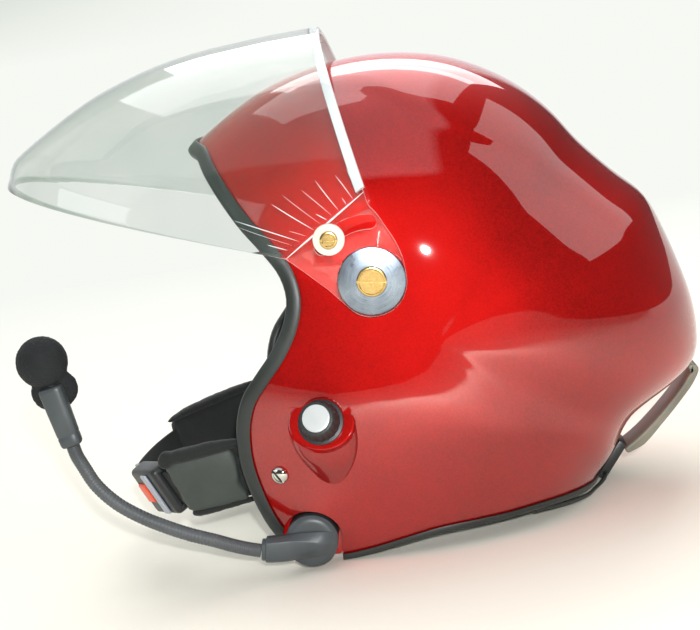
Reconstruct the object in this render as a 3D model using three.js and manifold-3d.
// A paramotor helmet: an open-face shell with a raised clear visor, ear cups, a boom microphone and a chin
// strap. Millimetres. Inside the helmet group X points to the wearer's left, Y to the back of the head and Z
// up, and the origin lies midway between the ears. The group is tipped back at the end, so that the helmet
// rests on its rim.

import * as THREE from "three";
import { mergeVertices } from "three/addons/utils/BufferGeometryUtils.js";
import Module from "manifold-3d";

// Shell
const shellLength = 302;
const shellHeight = 276;
const shellWidth = 224;
const shellWall = 3.5;
const clearance = 0.3;
const overrun = 30;
const creaseDrop = 3.2;
const creaseReach = 45;
const creaseWidth = 5;
const ridgeHeight = 7;
const ridgeReach = 28;
const ridgeRadius = 3;
const earBulge = 9;
const earBulgeLength = 62;
const earBulgeHeight = 52;
const hoodBulge = 6;
const hoodLength = 22;
const hoodHeight = 17;

// Rubber trim along the rims
const faceTrimLeg = 6.4;
const baseTrimLeg = 2.4;
const trimWall = 1.7;

// Visor
const visorStandoff = 4.6;
const visorHalfWidth = shellWidth / 2 + visorStandoff;
const visorSheet = 2;
const visorSlotWidth = 8;
const visorHole = 7;
const visorOverlap = 1;

// Visor hardware
const pivotWasherDiameter = 36;
const pivotWasherThickness = 2.4;
const pivotHeadDiameter = 16;
const pivotHeadHeight = 3;
const pivotBoltDiameter = 6;
const pivotSpacerDiameter = 20;
const stopWasherDiameter = 17;
const stopWasherThickness = 2.2;
const stopHeadDiameter = 9.4;
const stopHeadHeight = 2.6;
const stopBoltDiameter = 4.6;
const stopSpacerDiameter = 12;
const nutDiameter = 14;
const nutThickness = 3;

// Volume knob
const seatDiameter = 37;
const seatProud = 1.9;
const podTailSink = 4;
const collarRoom = 0.7;
const collarDiameter = 25;
const collarHeight = 1.2;
const skirtDiameter = 22;
const skirtTopDiameter = 18;
const skirtHeight = 10;
const capDiameter = 15;
const capHeight = 1.6;
const capRecess = 0.8;
const shaftDiameter = 6;
const potDiameter = 17;
const potLength = 8;
const fluteCount = 18;
const fluteDepth = 0.5;

// Boom
const boomPivotDiameter = 29;
const boomBaseDiameter = 28;
const alcoveDiameter = 33;
const alcoveDepth = 23.7;
const alcoveFloor = shellWidth / 2 - alcoveDepth;
const alcoveBossWall = 3.6;
const boomKnuckleSetback = 10;
const boomKnuckleThickness = 8;
const boomKnuckleInner = shellWidth / 2 - boomKnuckleSetback;
const boomKnuckleOuter = boomKnuckleInner + boomKnuckleThickness;
const boomKnuckleDome = 2;
const boomScrewDiameter = 5;
const boomScrewHead = 9;
const boomScrewRise = 1.2;
const boomStandoff = 0.6;
const boomPlane = shellWidth / 2 + boomStandoff;
const armThickness = 10;
const armRootHeight = 15;
const armEdge = 2.5;
const neckDiameter = 7.6;
const neckRibDepth = 0.55;
const neckBore = 3;
const neckRibs = 54;
const micThickness = 10;
const micBaseWidth = 11.8;
const micTopWidth = 13.4;
const micEdge = 1.8;
const micLength = 34;
const foamDiameter = 28.6;
const foamHemDiameter = 26.8;
const foamHemThickness = 13;
const foamInset = 6.5;
const capsuleDiameter = 9;
const capsuleLength = 16;

// Lining
const headWidth = 156;
const headLength = 200;
const headHeight = 224;
const padThickness = 8;
const liningInset = 9;
const earWellRadius = 47;
const cupRadius = 37;
const cupSetback = 14;
const cupDepth = 16;
const cupOuter = shellWidth / 2 - cupSetback;
const cupInner = cupOuter - cupDepth;
const cupWall = 3;
const cupEdge = 4;
const sealThickness = 14;
const sealWidth = 13;
const sealProud = 1;
const sealEdge = 4;
const speakerDiameter = 40;
const speakerThickness = 8;
const mountDiameter = 26;
const cheekPadInner = headWidth / 2 - padThickness;
const neckRollHeight = 20;
const neckRollThickness = 15;
const neckRollEdge = 5;

// Chin strap
const strapWidth = 22;
const strapThickness = 1.6;
const strapTail = 9;
const strapGrip = 5;
const strapTabSetback = 3.6;
const strapScrewDiameter = 10;
const strapScrewHeight = 3;
const strapBoltDiameter = 4.6;
const strapNutDiameter = 14;
const strapNutThickness = 2.4;
const sleeveWidth = 36;
const sleeveThickness = 8;
const sleeveEdge = 3;
const sleeveRoom = 2.6;
const buckleWidth = 31;
const buckleLength = 34;
const buckleThickness = 12;
const buckleEdge = 3;
const tongueLevel = 3;
const tongueThickness = 2;
const tongueWidth = 20;
const tongueDepth = 22;
const tongueTailWidth = 28;
const tongueTailLength = 8;
const buttonWidth = 13;
const buttonLength = 9;
const buttonThickness = 4;
const buttonTravel = 2.5;
const buttonFromEnd = 3;
const plateWidth = 27;
const plateLength = 7;
const plateThickness = 1.4;
const plateFromEnd = 16;

// Goggle strap keeper
const keeperWidth = 26;
const keeperThickness = 5;
const keeperEndDiameter = 4;
const backingWidth = 22;
const backingThickness = 1.6;
const keeperBoltDiameter = 3;
const keeperHeadDiameter = 8;
const keeperHeadHeight = 2;
const ladderWidth = 24;
const ladderThickness = 5;
const ladderLength = 25;
const ladderSlotWidth = 16;
const ladderSlotLength = 2.2;
const ladderSlotGap = 1.4;
const ladderSlots = 3;
const cordDiameter = 2.4;

// Mesh fineness, in steps: the outer surface, and the hidden inner ones
const fine = { around: 36, levels: 10, creaseLevel: 6 };
const coarse = { around: 28, levels: 7, creaseLevel: 4 };

const wasm = await Module();
wasm.setup();

// Turns a closed geometry into a solid that can be joined and cut.
function solidOf(geometry) {
  const bare = new THREE.BufferGeometry();
  bare.setAttribute("position", geometry.getAttribute("position").clone());
  bare.setIndex(geometry.index ? geometry.index.clone() : null);
  const merged = mergeVertices(bare);
  const triangles = [];
  for (let i = 0; i < merged.index.count; i += 3) {
    const [a, b, c] = [0, 1, 2].map((k) => merged.index.getX(i + k));
    if (a !== b && b !== c && c !== a) triangles.push(a, b, c);
  }
  return new wasm.Manifold(
    new wasm.Mesh({
      numProp: 3,
      vertProperties: merged.getAttribute("position").array,
      triVerts: new Uint32Array(triangles),
    }),
  );
}

function geometryOf(solid) {
  const mesh = solid.getMesh();
  const positions = new Float32Array(mesh.numVert * 3);
  for (let i = 0; i < mesh.numVert; i++) {
    positions.set(mesh.vertProperties.subarray(i * mesh.numProp, i * mesh.numProp + 3), i * 3);
  }
  const geometry = new THREE.BufferGeometry();
  geometry.setAttribute("position", new THREE.BufferAttribute(positions, 3));
  geometry.setIndex(new THREE.BufferAttribute(mesh.triVerts, 1));
  const flat = geometry.toNonIndexed();
  flat.computeVertexNormals();
  return flat;
}

function join(...geometries) {
  return geometries.map(solidOf).reduce((whole, piece) => whole.add(piece));
}

// Fills a ring of points with triangles that turn the same way as the ring, or the other way.
function ringFill(ring, first, reversed) {
  const centre = new THREE.Vector3();
  for (const point of ring) centre.add(point);
  centre.divideScalar(ring.length);
  const normal = new THREE.Vector3();
  ring.forEach((point, i) => {
    const next = ring[(i + 1) % ring.length];
    normal.add(point.clone().sub(centre).cross(next.clone().sub(centre)));
  });
  if (normal.length() < Number.EPSILON) return [];
  normal.normalize();
  const u = ring[0].clone().sub(centre);
  u.addScaledVector(normal, -u.dot(normal)).normalize();
  const v = normal.clone().cross(u);
  const flat = ring.map((point) => {
    const arm = point.clone().sub(centre);
    return new THREE.Vector2(arm.dot(u), arm.dot(v));
  });
  const faces = [];
  for (const [a, b, c] of THREE.ShapeUtils.triangulateShape(flat, [])) {
    const turn = flat[b].clone().sub(flat[a]).cross(flat[c].clone().sub(flat[a]));
    const keeps = turn > 0 !== reversed;
    faces.push(first + a, first + (keeps ? b : c), first + (keeps ? c : b));
  }
  return faces;
}

// Skins rings of equally many points into a closed solid: looped, the last ring joins the first, otherwise
// the end rings are filled. Its faces point out whichever way the rings turn.
function skin(rings, looped = false) {
  const count = rings[0].length;
  const points = rings.flat();
  const index = [];
  const spans = looped ? rings.length : rings.length - 1;
  for (let i = 0; i < spans; i++) {
    const near = i * count;
    const far = ((i + 1) % rings.length) * count;
    for (let j = 0; j < count; j++) {
      const k = (j + 1) % count;
      index.push(near + j, near + k, far + k, near + j, far + k, far + j);
    }
  }
  if (!looped) {
    index.push(...ringFill(rings[0], 0, true));
    index.push(...ringFill(rings[rings.length - 1], points.length - count, false));
  }
  let volume = 0;
  for (let i = 0; i < index.length; i += 3) {
    const [a, b, c] = [0, 1, 2].map((k) => points[index[i + k]]);
    volume += a.dot(b.clone().cross(c));
  }
  if (volume < 0) index.reverse();
  const geometry = new THREE.BufferGeometry().setFromPoints(points);
  geometry.setIndex(index);
  return geometry;
}

// A rounded rectangle as points, with its corners cut to arcs.
function roundedSection(width, height, edge, cornerSteps = 2) {
  const points = [];
  const radius = Math.min(edge, width / 2, height / 2);
  for (const [signX, signY, from] of [
    [1, 1, 0],
    [-1, 1, Math.PI / 2],
    [-1, -1, Math.PI],
    [1, -1, Math.PI * 1.5],
  ]) {
    for (let i = 0; i <= cornerSteps; i++) {
      const angle = from + ((Math.PI / 2) * i) / cornerSteps;
      points.push([
        signX * (width / 2 - radius) + radius * Math.cos(angle),
        signY * (height / 2 - radius) + radius * Math.sin(angle),
      ]);
    }
  }
  return points;
}

// Places a section's points on a frame of two directions.
function placeSection(section, origin, u, v) {
  return section.map(([a, b]) => origin.clone().addScaledVector(u, a).addScaledVector(v, b));
}

// A turned piece about the X axis, from a profile of [x, radius] points.
function turned(profile, steps = 20) {
  const geometry = new THREE.LatheGeometry(
    profile.map(([x, radius]) => new THREE.Vector2(radius, x)),
    steps,
  );
  return geometry.rotateZ(-Math.PI / 2);
}

function rod(from, to, radius, steps = 16) {
  return turned([[from, 0], [from, radius], [to, radius], [to, 0]], steps);
}

function ringPiece(from, to, inner, outer, steps = 24) {
  return turned([[from, inner], [from, outer], [to, outer], [to, inner], [from, inner]], steps);
}

// A side profile of [y, z] points, extruded from one X to another.
function sidePlate(points, from, to) {
  const shape = new THREE.Shape(points.map(([y, z]) => new THREE.Vector2(y, z)));
  const geometry = new THREE.ExtrudeGeometry(shape, { depth: to - from, bevelEnabled: false });
  const turnedBasis = new THREE.Matrix4().makeBasis(
    new THREE.Vector3(0, 1, 0),
    new THREE.Vector3(0, 0, 1),
    new THREE.Vector3(1, 0, 0),
  );
  return geometry.applyMatrix4(turnedBasis).translate(from, 0, 0);
}

function smooth(value) {
  const t = THREE.MathUtils.clamp(value, 0, 1);
  return t * t * (3 - 2 * t);
}

// The shell's shape. Its side outline runs through points given as shares of its length and height, seen from
// the origin, and each cross-section is a superellipse. Bulges push the sides out.
const roundness = 2.4;
const outlineShares = [
  [0.498, 0.041], [0.472, 0.111], [0.441, 0.182], [0.41, 0.243], [0.4, 0.257], [0.341, 0.303],
  [0.272, 0.367], [0.222, 0.426], [0.163, 0.476], [0.085, 0.518], [0.008, 0.541], [-0.069, 0.547],
  [-0.225, 0.52], [-0.325, 0.473], [-0.414, 0.403], [-0.479, 0.335], [-0.516, 0.263], [-0.553, 0.162],
  [-0.596, 0.0], [-0.6, -0.306], [-0.436, -0.588], [-0.125, -0.704], [0.253, -0.48], [0.321, -0.352],
  [0.35, -0.306], [0.383, -0.221], [0.424, -0.178], [0.508, -0.091], [0.512, -0.036],
];
const creaseShares = [
  [124, 0.93], [109, 0.915], [102, 0.875], [96, 0.81], [90, 0.775], [78, 0.76], [66, 0.79], [52, 0.81],
  [45, 0.84], [36, 0.83], [27, 0.835], [20, 0.84],
];
const plainCreaseShare = 0.85;
const fullTurn = Math.PI * 2;
const knots = outlineShares.map(([yShare, zShare]) => {
  const y = yShare * shellLength;
  const z = zShare * shellHeight;
  return { angle: (Math.atan2(z, y) + fullTurn) % fullTurn, radius: Math.hypot(y, z) };
});

function knot(i) {
  const turns = Math.floor(i / knots.length);
  const at = knots[i - turns * knots.length];
  return { angle: at.angle + turns * fullTurn, radius: at.radius };
}

function outlineRadius(direction) {
  const angle = ((direction % fullTurn) + fullTurn) % fullTurn;
  let i = knots.findLastIndex((k) => k.angle <= angle);
  if (i < 0) i = -1;
  const [before, from, to, after] = [i - 1, i, i + 1, i + 2].map(knot);
  const span = to.angle - from.angle;
  const t = (angle - from.angle) / span;
  const slopeFrom = ((to.radius - before.radius) / (to.angle - before.angle)) * span;
  const slopeTo = ((after.radius - from.radius) / (after.angle - from.angle)) * span;
  return (
    (2 * t ** 3 - 3 * t ** 2 + 1) * from.radius +
    (t ** 3 - 2 * t ** 2 + t) * slopeFrom +
    (3 * t ** 2 - 2 * t ** 3) * to.radius +
    (t ** 3 - t ** 2) * slopeTo
  );
}

// How far out from the origin the shoulder crease lies, as a share of the outline, and how strong it is.
function crease(direction) {
  const degrees = THREE.MathUtils.radToDeg(((direction % fullTurn) + fullTurn) % fullTurn);
  const first = creaseShares[0];
  const last = creaseShares[creaseShares.length - 1];
  if (degrees >= first[0] || degrees <= last[0]) return { share: plainCreaseShare, strength: 0 };
  const i = creaseShares.findIndex(([angle]) => angle < degrees);
  const [angleA, shareA] = creaseShares[i - 1];
  const [angleB, shareB] = creaseShares[i];
  const fadeDegrees = 14;
  return {
    share: THREE.MathUtils.mapLinear(degrees, angleA, angleB, shareA, shareB),
    strength: smooth((first[0] - degrees) / fadeDegrees) * smooth((degrees - last[0]) / fadeDegrees),
  };
}

function bell(y, z, place, reachY, reachZ) {
  return Math.exp(-(((y - place[0]) / reachY) ** 2) - ((z - place[1]) / reachZ) ** 2);
}

// A place on the side view from its shares of the shell's length and height.
function onSide([yShare, zShare]) {
  return [yShare * shellLength, zShare * shellHeight];
}

const earBulgePlace = onSide([-0.132, -0.181]);
const hoodPlace = onSide([-0.219, -0.359]);
const ridgeStartShare = -0.132;
const ridgeGrowthShare = 0.36;
const ridgeLevelShare = -0.158;
const ridgeFallShare = -0.145;

function sideBulge(y, z) {
  const ridgeZ = ridgeLevelShare * shellHeight + (ridgeFallShare * shellHeight * y) / shellLength;
  const away = Math.hypot(z - ridgeZ, ridgeRadius) - ridgeRadius;
  const growth = smooth((y / shellLength - ridgeStartShare) / ridgeGrowthShare);
  return (
    earBulge * bell(y, z, earBulgePlace, earBulgeLength, earBulgeHeight) +
    hoodBulge * bell(y, z, hoodPlace, hoodLength, hoodHeight) +
    ridgeHeight * growth * Math.exp(-away / ridgeReach)
  );
}

// The shell's half width at a place on the side view; an inset moves the surface inwards.
function sideX(y, z, inset = 0) {
  const share = Math.hypot(y, z) / (outlineRadius(Math.atan2(z, y)) - inset);
  if (share >= 1) return 0;
  const body = (shellWidth / 2 - inset) * (1 - share ** roundness) ** (1 / roundness);
  return body + sideBulge(y, z) * (1 - share ** 4);
}

// The outward direction of the surface at a point with X of zero or more.
function surfaceNormal(point, inset = 0) {
  const level = (x, y, z) => {
    const share = Math.hypot(y, z) / (outlineRadius(Math.atan2(z, y)) - inset);
    const body = Math.max(0, x - sideBulge(y, z) * Math.max(0, 1 - share ** 4));
    return share ** roundness + (body / (shellWidth / 2 - inset)) ** roundness;
  };
  const step = clearance;
  const { x, y, z } = point;
  const side = x < clearance ? 0 : level(x + step, y, z) - level(x - step, y, z);
  return new THREE.Vector3(
    side,
    level(x, y + step, z) - level(x, y - step, z),
    level(x, y, z + step) - level(x, y, z - step),
  ).normalize();
}

// The whole headform as a closed solid, moved inwards by an inset.
function headform(inset = 0, { around, levels, creaseLevel } = fine) {
  const halfWidth = shellWidth / 2 - inset;
  const ringAt = (level, sign) => {
    const ring = [];
    const plain = Math.sin((Math.PI / 2) * (level / levels)) ** (2 / roundness);
    for (let i = 0; i < around; i++) {
      const angle = (fullTurn * i) / around;
      const radius = outlineRadius(angle) - inset;
      const { share, strength } = crease(angle);
      const band = creaseWidth / 2 / radius;
      const below = Math.sin((Math.PI / 2) * (creaseLevel / levels)) ** (2 / roundness);
      const above = Math.sin((Math.PI / 2) * ((creaseLevel + 1) / levels)) ** (2 / roundness);
      const out =
        level <= creaseLevel
          ? (plain * (share - band)) / below
          : 1 - ((1 - plain) * (1 - share - band)) / (1 - above);
      const away = ((share - out) * radius) / creaseReach;
      const dips = level > 0 && level <= creaseLevel;
      const drop = dips ? creaseDrop * strength * Math.exp(-away * away) : 0;
      const y = radius * out * Math.cos(angle);
      const z = radius * out * Math.sin(angle);
      const body = halfWidth * Math.max(0, 1 - out ** roundness) ** (1 / roundness);
      const point = new THREE.Vector3(body + sideBulge(y, z) * (1 - out ** 4), y, z);
      point.setLength(point.length() - drop);
      point.x *= sign;
      ring.push(point);
    }
    return ring;
  };
  const rings = [];
  for (let level = 0; level <= levels; level++) rings.push(ringAt(level, 1));
  for (let level = levels - 1; level >= 0; level--) rings.push(ringAt(level, -1));
  return skin(rings);
}

// The rims on the side view: the face opening from the brow to the cheek's corner, then the base to the nape.
const faceRimShares = [
  [-0.479, 0.341], [-0.458, 0.337], [-0.439, 0.332], [-0.42, 0.305], [-0.391, 0.266], [-0.348, 0.212],
  [-0.306, 0.167], [-0.274, 0.125], [-0.26, 0.078], [-0.266, 0.027], [-0.286, -0.025], [-0.316, -0.076],
  [-0.34, -0.12], [-0.351, -0.168], [-0.352, -0.208], [-0.346, -0.26], [-0.331, -0.312], [-0.31, -0.363],
  [-0.288, -0.402], [-0.25, -0.444],
];
const baseRimShares = [
  [-0.23, -0.454], [-0.173, -0.453], [-0.116, -0.436], [-0.054, -0.411], [0.007, -0.388], [0.069, -0.374],
  [0.131, -0.362], [0.195, -0.349], [0.234, -0.345], [0.278, -0.344], [0.321, -0.351],
];
const outsideShares = [[0.64, -0.36], [0.64, 0.64], [-0.66, 0.64], [-0.66, 0.341]];

function rimLine(shares, steps, inset) {
  const curve = new THREE.SplineCurve(shares.map(onSide).map(([y, z]) => new THREE.Vector2(y, z)));
  const points = [];
  for (let i = 0; i <= steps; i++) {
    const tangent = curve.getTangent(i / steps);
    const point = curve.getPoint(i / steps);
    points.push([point.x - tangent.y * inset, point.y + tangent.x * inset]);
  }
  return points;
}

// What is kept of the headform between the rims, moved in from them by an inset each.
function keepPlate(inset = 0, baseInset = inset) {
  const face = rimLine(faceRimShares, 30, inset);
  const [corner] = face[face.length - 1];
  const base = rimLine(baseRimShares, 14, baseInset).filter(([y]) => y > corner + clearance);
  const line = [...face, ...base, ...outsideShares.map(onSide)];
  const [, brow] = line[0];
  line[line.length - 1][1] = brow;
  return sidePlate(line, -shellWidth, shellWidth);
}

const headSolid = solidOf(headform());
const headInner = solidOf(headform(shellWall, coarse));
const keepSolid = solidOf(keepPlate());

// A frame on the shell's left side: its X axis leaves the surface, its Z axis points up.
function seatFrame(place, outwards = 0, straight = false) {
  const [y, z] = place;
  const point = new THREE.Vector3(sideX(y, z), y, z);
  const normal = straight ? new THREE.Vector3(1, 0, 0) : surfaceNormal(point);
  const up = new THREE.Vector3(0, 0, 1).addScaledVector(normal, -normal.z).normalize();
  const frame = new THREE.Matrix4().makeBasis(normal, up.clone().cross(normal), up);
  return frame.setPosition(point.addScaledVector(normal, outwards));
}

// A frame on the back of the shell in its middle plane: X leaves the surface and Z points left. Its place is
// where a line from the origin meets the outline, given by the line's slope in shares of height and length.
function backFrame(slopeShare, outwards = 0) {
  const angle = Math.atan2(slopeShare * shellHeight, shellLength);
  const point = new THREE.Vector3(0, Math.cos(angle), Math.sin(angle)).multiplyScalar(outlineRadius(angle));
  const normal = surfaceNormal(point);
  const side = new THREE.Vector3(1, 0, 0);
  const frame = new THREE.Matrix4().makeBasis(normal, side.clone().cross(normal), side);
  return frame.setPosition(point.addScaledVector(normal, outwards));
}

function moved(geometry, matrix) {
  return geometry.clone().applyMatrix4(matrix);
}

const pivotPlace = onSide([-0.114, 0.124]);
const stopPlace = onSide([-0.189, 0.2025]);
const strapScrewPlace = onSide([-0.28, -0.274]);
const boomPlace = onSide([-0.222, -0.405]);
const earPlace = onSide([-0.094, -0.122]);
const keeperScrewShare = -0.2932;
const keeperPinShare = -0.8704;
const bothSides = [
  { name: "left", sign: 1 },
  { name: "right", sign: -1 },
];

function mirrored(geometry) {
  return geometry.clone().applyMatrix4(new THREE.Matrix4().makeScale(-1, 1, 1));
}

// Mirroring turns a solid inside out, so its faces are turned back.
function sided(geometry, sign) {
  if (sign > 0) return geometry;
  const turnedOver = mirrored(geometry.index ? geometry.toNonIndexed() : geometry);
  const array = turnedOver.getAttribute("position").array;
  for (let i = 0; i < array.length; i += 9) {
    for (let k = 0; k < 3; k++) {
      [array[i + 3 + k], array[i + 6 + k]] = [array[i + 6 + k], array[i + 3 + k]];
    }
  }
  const bare = new THREE.BufferGeometry();
  bare.setAttribute("position", turnedOver.getAttribute("position"));
  bare.computeVertexNormals();
  return bare;
}

// The knob's seat is a tilted disc that leaves the shell at its top and stands proud of it below; its axis
// points outwards, up and a little forwards.
const knobTiltUp = THREE.MathUtils.degToRad(23.5);
const knobTurnForward = THREE.MathUtils.degToRad(10.5);
const knobPlace = onSide([-0.2036, -0.155]);
const knobAxis = new THREE.Vector3(
  Math.cos(knobTiltUp) * Math.cos(knobTurnForward),
  -Math.cos(knobTiltUp) * Math.sin(knobTurnForward),
  Math.sin(knobTiltUp),
);
const knobPoint = new THREE.Vector3(sideX(...knobPlace) + seatProud, ...knobPlace);
const knobUp = new THREE.Vector3(0, 0, 1).addScaledVector(knobAxis, -knobAxis.z).normalize();
const knobBack = knobUp.clone().cross(knobAxis);
const knobFrame = new THREE.Matrix4().makeBasis(knobAxis, knobBack, knobUp).setPosition(knobPoint);

// Materials, named after what they show.
const finishes = {
  redLacquer: [0xa8070a, 0.25, 0.3],
  blackRubber: [0x2b302d, 0.6, 0],
  clearSheet: [0xe9eeee, 0.1, 0],
  zincPlate: [0xb9c3cc, 0.35, 1],
  brass: [0xd9b25a, 0.3, 1],
  whiteNylon: [0xf2f0ea, 0.5, 0],
  blackPlastic: [0x222725, 0.5, 0],
  silverPlastic: [0xdfe6e8, 0.35, 0.4],
  chrome: [0xe4e4dc, 0.12, 1],
  foam: [0x1f2624, 0.95, 0],
  beadFoam: [0x34383a, 0.9, 0],
  blackFabric: [0x242a28, 0.95, 0],
  webbing: [0x1c2120, 0.85, 0],
  greyPlate: [0xb9bfc6, 0.4, 0.7],
  redPlastic: [0xd8402f, 0.45, 0],
  greyRubber: [0x6f776c, 0.6, 0],
  steel: [0x8f9496, 0.4, 1],
};

const helmet = new THREE.Group();

function addPart(name, geometry, finish, parent = helmet) {
  const [color, roughness, metalness] = finishes[finish];
  const material = new THREE.MeshStandardMaterial({ color, roughness, metalness });
  if (finish === "clearSheet") {
    material.transparent = true;
    material.opacity = 0.35;
  }
  const mesh = new THREE.Mesh(geometry, material);
  mesh.name = name;
  parent.add(mesh);
  return mesh;
}

// Cuts in the shell
const boltHole = (diameter) => diameter / 2 + clearance;
const alcoveRadius = alcoveDiameter / 2;
const seatRadius = seatDiameter / 2;

// The boom's axis runs along X.
function boomFrame() {
  return new THREE.Matrix4().setPosition(0, ...boomPlace);
}

// A round alcove with a way out at the bottom, so that the boom's base can be put in.
function alcoveCut(extra = 0) {
  const [y, z] = boomPlace;
  const radius = alcoveRadius + extra;
  const points = [];
  const arcSteps = 12;
  for (let i = 0; i <= arcSteps; i++) {
    const angle = (Math.PI * i) / arcSteps;
    points.push([y + radius * Math.cos(angle), z + radius * Math.sin(angle)]);
  }
  points.push([y - radius, z - overrun], [y + radius, z - overrun]);
  return sidePlate(points, alcoveFloor - extra, shellWidth);
}

// The boss behind the alcove's floor.
function alcoveBossRod(extra = 0) {
  const from = alcoveFloor - alcoveBossWall - extra;
  return moved(rod(from, shellWidth / 2, alcoveRadius + alcoveBossWall + extra, 24), boomFrame());
}

// The knob's pod runs from its seat down and back into the shell, as ovals given by how far they are along it
// and by shares of the seat's radius. With a wall it is the hollow inside.
const podShares = [[0, 1, 1], [0.3, 0.96, 0.83], [0.62, 0.77, 0.55], [0.86, 0.48, 0.34], [1, 0.22, 0.2]];
const podTailPlace = onSide([-0.1805, -0.2665]);

function podGeometry(wall = 0) {
  const tail = new THREE.Vector3(sideX(...podTailPlace) - podTailSink, ...podTailPlace);
  const steps = 20;
  return skin(
    podShares.map(([along, across, high]) => {
      const centre = knobPoint.clone().lerp(tail, along).addScaledVector(knobAxis, -wall);
      const ring = [];
      for (let i = 0; i < steps; i++) {
        const angle = (fullTurn * i) / steps;
        ring.push(
          centre
            .clone()
            .addScaledVector(knobBack, Math.max(clearance, seatRadius * across - wall) * Math.cos(angle))
            .addScaledVector(knobUp, Math.max(clearance, seatRadius * high - wall) * Math.sin(angle)),
        );
      }
      return ring;
    }),
  );
}

function shellSolid() {
  const pod = solidOf(podGeometry());
  const podInside = solidOf(podGeometry(shellWall));
  const seatPlate = solidOf(moved(rod(-shellWall, 0, seatRadius, 20), knobFrame));
  const recess = solidOf(moved(rod(0, overrun, collarDiameter / 2 + collarRoom, 20), knobFrame));
  const inside = headInner.add(podInside).subtract(seatPlate).subtract(solidOf(alcoveBossRod()));
  let shell = headSolid.add(pod).subtract(inside).intersect(keepSolid);
  shell = shell.subtract(recess).subtract(solidOf(alcoveCut()));
  shell = shell.subtract(solidOf(moved(rod(-overrun, overrun, boltHole(shaftDiameter), 12), knobFrame)));
  for (const { sign } of bothSides) {
    for (const [place, diameter, straight] of [
      [pivotPlace, pivotBoltDiameter, true],
      [stopPlace, stopBoltDiameter, true],
      [strapScrewPlace, strapBoltDiameter, false],
    ]) {
      const hole = moved(rod(-overrun, overrun, boltHole(diameter), 10), seatFrame(place, 0, straight));
      shell = shell.subtract(solidOf(sided(hole, sign)));
    }
  }
  for (const share of [keeperScrewShare, keeperPinShare]) {
    const hole = rod(-overrun, overrun, boltHole(keeperBoltDiameter), 8);
    shell = shell.subtract(solidOf(moved(hole, backFrame(share))));
  }
  return shell.subtract(solidOf(moved(rod(0, shellWidth, boltHole(boomScrewDiameter), 10), boomFrame())));
}

addPart("outer_shell", geometryOf(shellSolid()), "redLacquer");

// The rim as evenly spaced points in the middle of the wall, from the right end to the left end.
function rimPath(shares, fromMiddle, steps, inset) {
  const curve = new THREE.SplineCurve(shares.map(onSide).map(([y, z]) => new THREE.Vector2(y, z)));
  const pointAt = (t) => curve.getPoint(fromMiddle ? t : 1 - t);
  const outside = (t) => sideX(pointAt(t).x, pointAt(t).y, inset) === 0;
  let [low, high] = [0, 1 / 4];
  const halvings = 40;
  for (let i = 0; i < halvings; i++) {
    const middle = (low + high) / 2;
    if (outside(middle)) low = middle;
    else high = middle;
  }
  const half = [];
  const samples = 400;
  for (let i = 0; i <= samples; i++) {
    const { x: y, y: z } = pointAt(high + (1 - high) * (i / samples) ** 3);
    half.push(new THREE.Vector3(i ? sideX(y, z, inset) : 0, y, z));
  }
  const mirroredHalf = half.slice(1).reverse().map((p) => new THREE.Vector3(-p.x, p.y, p.z));
  const line = [...mirroredHalf, ...half];
  const lengths = [0];
  for (let i = 1; i < line.length; i++) lengths.push(lengths[i - 1] + line[i].distanceTo(line[i - 1]));
  const total = lengths[lengths.length - 1];
  const path = [];
  for (let i = 0; i <= steps; i++) {
    const target = (total * i) / steps;
    const k = Math.max(1, lengths.findIndex((length) => length >= target - clearance / samples));
    const part = (target - lengths[k - 1]) / (lengths[k] - lengths[k - 1]);
    path.push(line[k - 1].clone().lerp(line[k], part));
  }
  return path;
}

// Frames along a rim: across the wall, and out over the edge.
function rimFrames(path, edgeward) {
  const frames = path.map((point, i) => {
    const tangent = path[Math.min(i + 1, path.length - 1)].clone().sub(path[Math.max(i - 1, 0)]).normalize();
    const mirror = new THREE.Vector3(Math.abs(point.x), point.y, point.z);
    const normal = surfaceNormal(mirror, shellWall / 2);
    if (point.x < 0) normal.x = -normal.x;
    return { point, normal, edge: tangent.cross(normal).normalize() };
  });
  const turnedIn = frames[Math.floor(frames.length / 2)].edge.dot(edgeward) < 0;
  if (turnedIn) for (const frame of frames) frame.edge.negate();
  return frames;
}

// An oval bar round the rim; the shell with a little room is cut out of it, which leaves a channel.
function trimSolid(shares, fromMiddle, steps, leg, edgeward) {
  const path = rimPath(shares, fromMiddle, steps, shellWall / 2);
  const halfThickness = shellWall / 2 + clearance + trimWall;
  const halfDepth = (leg + trimWall + clearance) / 2;
  const shift = halfDepth - leg;
  const section = [];
  const points = 6;
  for (let i = 0; i < points; i++) {
    const angle = (fullTurn * (i + 1 / 2)) / points;
    const [c, s] = [Math.cos(angle), Math.sin(angle)];
    const flatten = 2 / 3.4;
    section.push([
      halfThickness * Math.sign(c) * Math.abs(c) ** flatten,
      shift + halfDepth * Math.sign(s) * Math.abs(s) ** flatten,
    ]);
  }
  const rings = rimFrames(path, edgeward).map(({ point, normal, edge }) =>
    placeSection(section, point, normal, edge),
  );
  return solidOf(skin(rings)).subtract(roomyShell);
}

const roomyShell = solidOf(headform(-clearance))
  .subtract(solidOf(headform(shellWall + clearance, coarse)).subtract(solidOf(alcoveBossRod(clearance))))
  .intersect(solidOf(keepPlate(-clearance)));
const roomyAlcove = solidOf(alcoveCut(clearance));
const downwards = new THREE.Vector3(0, 0, -1);
const faceTrim = trimSolid(faceRimShares, true, 28, faceTrimLeg, downwards);
const baseTrim = trimSolid(baseRimShares, false, 20, baseTrimLeg, downwards);
const largest = (solid) => solid.decompose().reduce((a, b) => (a.volume() > b.volume() ? a : b));
addPart("face_trim", geometryOf(largest(faceTrim.subtract(roomyAlcove))), "blackRubber");
addPart("base_trim", geometryOf(largest(baseTrim.subtract(roomyAlcove))), "blackRubber");

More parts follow.
